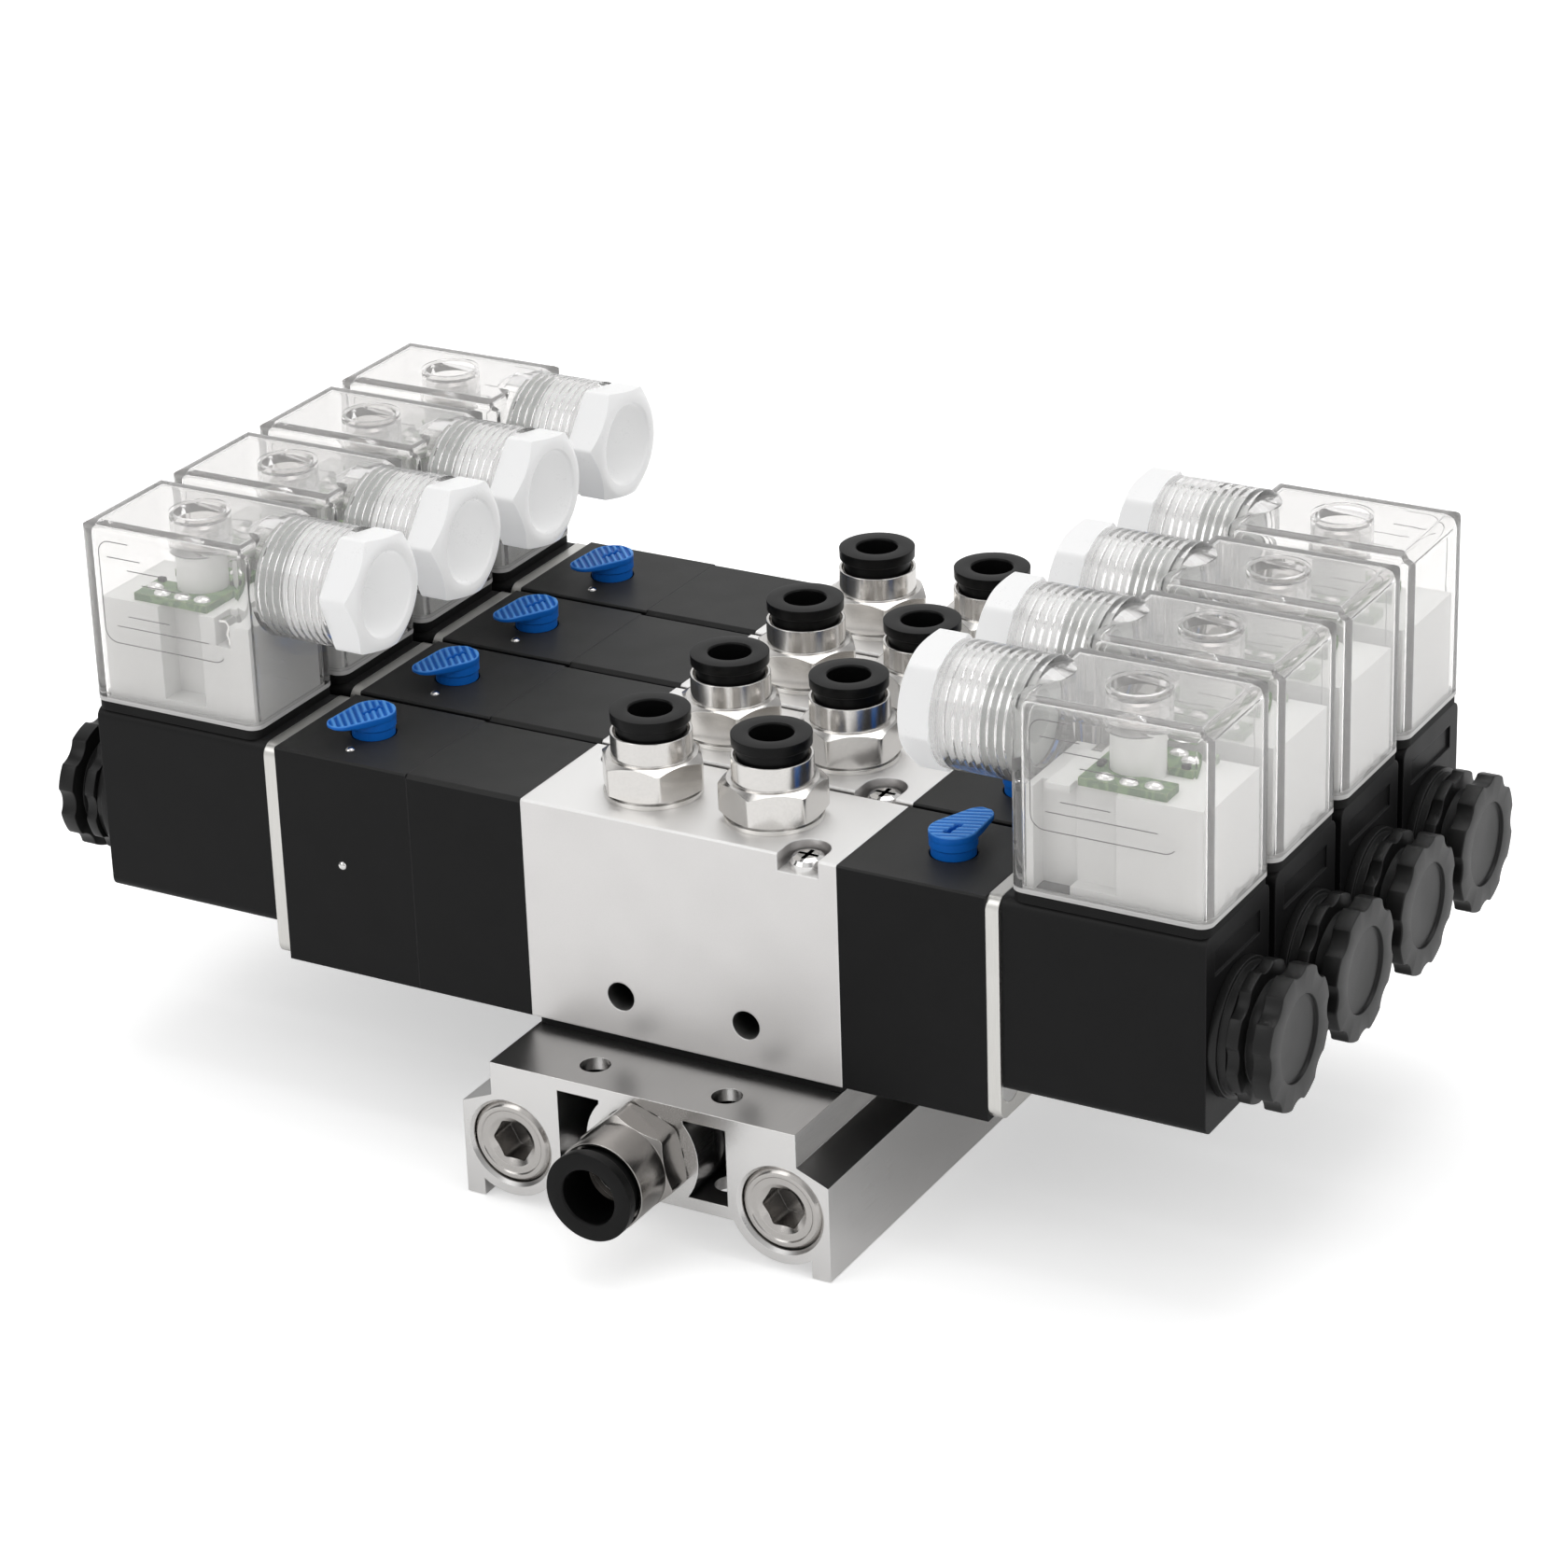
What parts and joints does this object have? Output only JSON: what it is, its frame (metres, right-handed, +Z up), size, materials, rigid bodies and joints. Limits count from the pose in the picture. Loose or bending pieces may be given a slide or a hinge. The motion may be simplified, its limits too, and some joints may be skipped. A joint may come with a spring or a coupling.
{
  "type": "solenoid valve manifold",
  "caption": "Bank of double-solenoid spring-centred air valves on an extruded aluminium base with push-in fittings, clear cable connectors and manual overrides.",
  "frame": {"origin": "under the middle of the whole part's outline, on the plane its feet stand on", "axes": "+Z up, +Y along the base away from the supply fitting, +X across the base towards the right-hand pilots"},
  "size_m": [0.203, 0.132, 0.0912],
  "materials": {
    "silver_aluminium": "satin extruded, natural",
    "silver_body": "satin, fine cross brushing",
    "black_rubber": "matt",
    "grey_rubber": "matt",
    "black_housing": "matt black",
    "pale_steel": "satin plated",
    "black_coil": "satin moulded",
    "dark_nylon": "satin moulded",
    "white_nylon": "white, slightly translucent",
    "green_board": "lacquered board",
    "bright_steel": "bright zinc",
    "milky_nylon": "milky nylon",
    "nickel_brass": "bright nickel plate",
    "plug_steel": "plated",
    "spring_steel": "drawn wire",
    "collar_black": "satin acetal",
    "spool_aluminium": "turned",
    "plunger_steel": "turned",
    "stem_brass": "turned",
    "blue_knob": "bright blue, ribbed top",
    "clear_cover": "clear polycarbonate"
  },
  "bodies": {
    "manifold": {"manifold_base": "silver_aluminium", "valve_body_1": "silver_body", "valve_body_2": "silver_body", "valve_body_3": "silver_body", "valve_body_4": "silver_body", "valve_gaskets": "black_rubber", "spring_housings": "black_housing", "pilot_housings": "black_housing", "tube_plates": "pale_steel", "coils": "black_coil", "coil_nuts": "dark_nylon", "connector_gaskets": "black_rubber", "terminal_blocks": "white_nylon", "circuit_boards": "green_board", "connector_covers": "clear_cover", "valve_screws": "bright_steel", "connector_screws": "bright_steel", "gland_nuts": "milky_nylon", "gland_seals": "grey_rubber", "fitting_bodies": "nickel_brass", "port_plugs": "plug_steel", "centering_springs": "spring_steel", "plunger_springs": "spring_steel"},
    "spool_1": {"spool_1": "spool_aluminium"},
    "plunger_left_1": {"plunger_left_1": "plunger_steel"},
    "override_stem_left_1": {"override_stem_left_1": "stem_brass"},
    "override_knob_left_1": {"override_knob_left_1": "blue_knob"},
    "plunger_right_1": {"plunger_right_1": "plunger_steel"},
    "override_stem_right_1": {"override_stem_right_1": "stem_brass"},
    "override_knob_right_1": {"override_knob_right_1": "blue_knob"},
    "outlet_collar_a_1": {"outlet_collar_a_1": "collar_black"},
    "outlet_collar_b_1": {"outlet_collar_b_1": "collar_black"},
    "spool_2": {"spool_2": "spool_aluminium"},
    "plunger_left_2": {"plunger_left_2": "plunger_steel"},
    "override_stem_left_2": {"override_stem_left_2": "stem_brass"},
    "override_knob_left_2": {"override_knob_left_2": "blue_knob"},
    "plunger_right_2": {"plunger_right_2": "plunger_steel"},
    "override_stem_right_2": {"override_stem_right_2": "stem_brass"},
    "override_knob_right_2": {"override_knob_right_2": "blue_knob"},
    "outlet_collar_a_2": {"outlet_collar_a_2": "collar_black"},
    "outlet_collar_b_2": {"outlet_collar_b_2": "collar_black"},
    "spool_3": {"spool_3": "spool_aluminium"},
    "plunger_left_3": {"plunger_left_3": "plunger_steel"},
    "override_stem_left_3": {"override_stem_left_3": "stem_brass"},
    "override_knob_left_3": {"override_knob_left_3": "blue_knob"},
    "plunger_right_3": {"plunger_right_3": "plunger_steel"},
    "override_stem_right_3": {"override_stem_right_3": "stem_brass"},
    "override_knob_right_3": {"override_knob_right_3": "blue_knob"},
    "outlet_collar_a_3": {"outlet_collar_a_3": "collar_black"},
    "outlet_collar_b_3": {"outlet_collar_b_3": "collar_black"},
    "spool_4": {"spool_4": "spool_aluminium"},
    "plunger_left_4": {"plunger_left_4": "plunger_steel"},
    "override_stem_left_4": {"override_stem_left_4": "stem_brass"},
    "override_knob_left_4": {"override_knob_left_4": "blue_knob"},
    "plunger_right_4": {"plunger_right_4": "plunger_steel"},
    "override_stem_right_4": {"override_stem_right_4": "stem_brass"},
    "override_knob_right_4": {"override_knob_right_4": "blue_knob"},
    "outlet_collar_a_4": {"outlet_collar_a_4": "collar_black"},
    "outlet_collar_b_4": {"outlet_collar_b_4": "collar_black"},
    "supply_collar": {"supply_collar": "collar_black"}
  },
  "joints": [
    {"name": "spool_slide_1", "type": "slide", "parent": "manifold", "child": "spool_1", "axis": [1, 0, 0], "range_m": [-0.0025, 0.0025], "stiffness_N_per_m": 2000, "deforming": ["centering_springs"]},
    {"name": "plunger_slide_left_1", "type": "slide", "parent": "manifold", "child": "plunger_left_1", "axis": [-1, 0, 0], "range_m": [0, 0.0008], "stiffness_N_per_m": 500, "springref_m": -0.001, "deforming": ["plunger_springs"]},
    {"name": "override_press_left_1", "type": "slide", "parent": "manifold", "child": "override_stem_left_1", "axis": [0, 0, -1], "range_m": [0, 0.0012], "stiffness_N_per_m": 1000, "springref_m": -0.001},
    {"name": "override_turn_left_1", "type": "hinge", "parent": "override_stem_left_1", "child": "override_knob_left_1", "pos_m": [-0.0487, -0.027, 0.059], "axis": [0, 0, 1], "range_deg": [0, 90]},
    {"name": "plunger_slide_right_1", "type": "slide", "parent": "manifold", "child": "plunger_right_1", "axis": [1, 0, 0], "range_m": [0, 0.0008], "stiffness_N_per_m": 500, "springref_m": -0.001},
    {"name": "override_press_right_1", "type": "slide", "parent": "manifold", "child": "override_stem_right_1", "axis": [0, 0, -1], "range_m": [0, 0.0012], "stiffness_N_per_m": 1000, "springref_m": -0.001},
    {"name": "override_turn_right_1", "type": "hinge", "parent": "override_stem_right_1", "child": "override_knob_right_1", "pos_m": [0.0487, -0.027, 0.059], "axis": [0, 0, 1], "range_deg": [0, 90]},
    {"name": "collar_release_a_1", "type": "slide", "parent": "manifold", "child": "outlet_collar_a_1", "axis": [0, 0, -1], "range_m": [0, 0.0015], "stiffness_N_per_m": 1500, "springref_m": -0.001},
    {"name": "collar_release_b_1", "type": "slide", "parent": "manifold", "child": "outlet_collar_b_1", "axis": [0, 0, -1], "range_m": [0, 0.0015], "stiffness_N_per_m": 1500, "springref_m": -0.001},
    {"name": "spool_slide_2", "type": "slide", "parent": "manifold", "child": "spool_2", "axis": [1, 0, 0], "range_m": [-0.0025, 0.0025], "stiffness_N_per_m": 2000},
    {"name": "plunger_slide_left_2", "type": "slide", "parent": "manifold", "child": "plunger_left_2", "axis": [-1, 0, 0], "range_m": [0, 0.0008], "stiffness_N_per_m": 500, "springref_m": -0.001},
    {"name": "override_press_left_2", "type": "slide", "parent": "manifold", "child": "override_stem_left_2", "axis": [0, 0, -1], "range_m": [0, 0.0012], "stiffness_N_per_m": 1000, "springref_m": -0.001},
    {"name": "override_turn_left_2", "type": "hinge", "parent": "override_stem_left_2", "child": "override_knob_left_2", "pos_m": [-0.0487, -0.004, 0.059], "axis": [0, 0, 1], "range_deg": [0, 90]},
    {"name": "plunger_slide_right_2", "type": "slide", "parent": "manifold", "child": "plunger_right_2", "axis": [1, 0, 0], "range_m": [0, 0.0008], "stiffness_N_per_m": 500, "springref_m": -0.001},
    {"name": "override_press_right_2", "type": "slide", "parent": "manifold", "child": "override_stem_right_2", "axis": [0, 0, -1], "range_m": [0, 0.0012], "stiffness_N_per_m": 1000, "springref_m": -0.001},
    {"name": "override_turn_right_2", "type": "hinge", "parent": "override_stem_right_2", "child": "override_knob_right_2", "pos_m": [0.0487, -0.004, 0.059], "axis": [0, 0, 1], "range_deg": [0, 90]},
    {"name": "collar_release_a_2", "type": "slide", "parent": "manifold", "child": "outlet_collar_a_2", "axis": [0, 0, -1], "range_m": [0, 0.0015], "stiffness_N_per_m": 1500, "springref_m": -0.001},
    {"name": "collar_release_b_2", "type": "slide", "parent": "manifold", "child": "outlet_collar_b_2", "axis": [0, 0, -1], "range_m": [0, 0.0015], "stiffness_N_per_m": 1500, "springref_m": -0.001},
    {"name": "spool_slide_3", "type": "slide", "parent": "manifold", "child": "spool_3", "axis": [1, 0, 0], "range_m": [-0.0025, 0.0025], "stiffness_N_per_m": 2000},
    {"name": "plunger_slide_left_3", "type": "slide", "parent": "manifold", "child": "plunger_left_3", "axis": [-1, 0, 0], "range_m": [0, 0.0008], "stiffness_N_per_m": 500, "springref_m": -0.001},
    {"name": "override_press_left_3", "type": "slide", "parent": "manifold", "child": "override_stem_left_3", "axis": [0, 0, -1], "range_m": [0, 0.0012], "stiffness_N_per_m": 1000, "springref_m": -0.001},
    {"name": "override_turn_left_3", "type": "hinge", "parent": "override_stem_left_3", "child": "override_knob_left_3", "pos_m": [-0.0487, 0.019, 0.059], "axis": [0, 0, 1], "range_deg": [0, 90]},
    {"name": "plunger_slide_right_3", "type": "slide", "parent": "manifold", "child": "plunger_right_3", "axis": [1, 0, 0], "range_m": [0, 0.0008], "stiffness_N_per_m": 500, "springref_m": -0.001},
    {"name": "override_press_right_3", "type": "slide", "parent": "manifold", "child": "override_stem_right_3", "axis": [0, 0, -1], "range_m": [0, 0.0012], "stiffness_N_per_m": 1000, "springref_m": -0.001},
    {"name": "override_turn_right_3", "type": "hinge", "parent": "override_stem_right_3", "child": "override_knob_right_3", "pos_m": [0.0487, 0.019, 0.059], "axis": [0, 0, 1], "range_deg": [0, 90]},
    {"name": "collar_release_a_3", "type": "slide", "parent": "manifold", "child": "outlet_collar_a_3", "axis": [0, 0, -1], "range_m": [0, 0.0015], "stiffness_N_per_m": 1500, "springref_m": -0.001},
    {"name": "collar_release_b_3", "type": "slide", "parent": "manifold", "child": "outlet_collar_b_3", "axis": [0, 0, -1], "range_m": [0, 0.0015], "stiffness_N_per_m": 1500, "springref_m": -0.001},
    {"name": "spool_slide_4", "type": "slide", "parent": "manifold", "child": "spool_4", "axis": [1, 0, 0], "range_m": [-0.0025, 0.0025], "stiffness_N_per_m": 2000},
    {"name": "plunger_slide_left_4", "type": "slide", "parent": "manifold", "child": "plunger_left_4", "axis": [-1, 0, 0], "range_m": [0, 0.0008], "stiffness_N_per_m": 500, "springref_m": -0.001},
    {"name": "override_press_left_4", "type": "slide", "parent": "manifold", "child": "override_stem_left_4", "axis": [0, 0, -1], "range_m": [0, 0.0012], "stiffness_N_per_m": 1000, "springref_m": -0.001},
    {"name": "override_turn_left_4", "type": "hinge", "parent": "override_stem_left_4", "child": "override_knob_left_4", "pos_m": [-0.0487, 0.042, 0.059], "axis": [0, 0, 1], "range_deg": [0, 90]},
    {"name": "plunger_slide_right_4", "type": "slide", "parent": "manifold", "child": "plunger_right_4", "axis": [1, 0, 0], "range_m": [0, 0.0008], "stiffness_N_per_m": 500, "springref_m": -0.001},
    {"name": "override_press_right_4", "type": "slide", "parent": "manifold", "child": "override_stem_right_4", "axis": [0, 0, -1], "range_m": [0, 0.0012], "stiffness_N_per_m": 1000, "springref_m": -0.001},
    {"name": "override_turn_right_4", "type": "hinge", "parent": "override_stem_right_4", "child": "override_knob_right_4", "pos_m": [0.0487, 0.042, 0.059], "axis": [0, 0, 1], "range_deg": [0, 90]},
    {"name": "collar_release_a_4", "type": "slide", "parent": "manifold", "child": "outlet_collar_a_4", "axis": [0, 0, -1], "range_m": [0, 0.0015], "stiffness_N_per_m": 1500, "springref_m": -0.001},
    {"name": "collar_release_b_4", "type": "slide", "parent": "manifold", "child": "outlet_collar_b_4", "axis": [0, 0, -1], "range_m": [0, 0.0015], "stiffness_N_per_m": 1500, "springref_m": -0.001},
    {"name": "supply_collar_release", "type": "slide", "parent": "manifold", "child": "supply_collar", "axis": [0, 1, 0], "range_m": [0, 0.0015], "stiffness_N_per_m": 1500, "springref_m": -0.001}
  ]
}
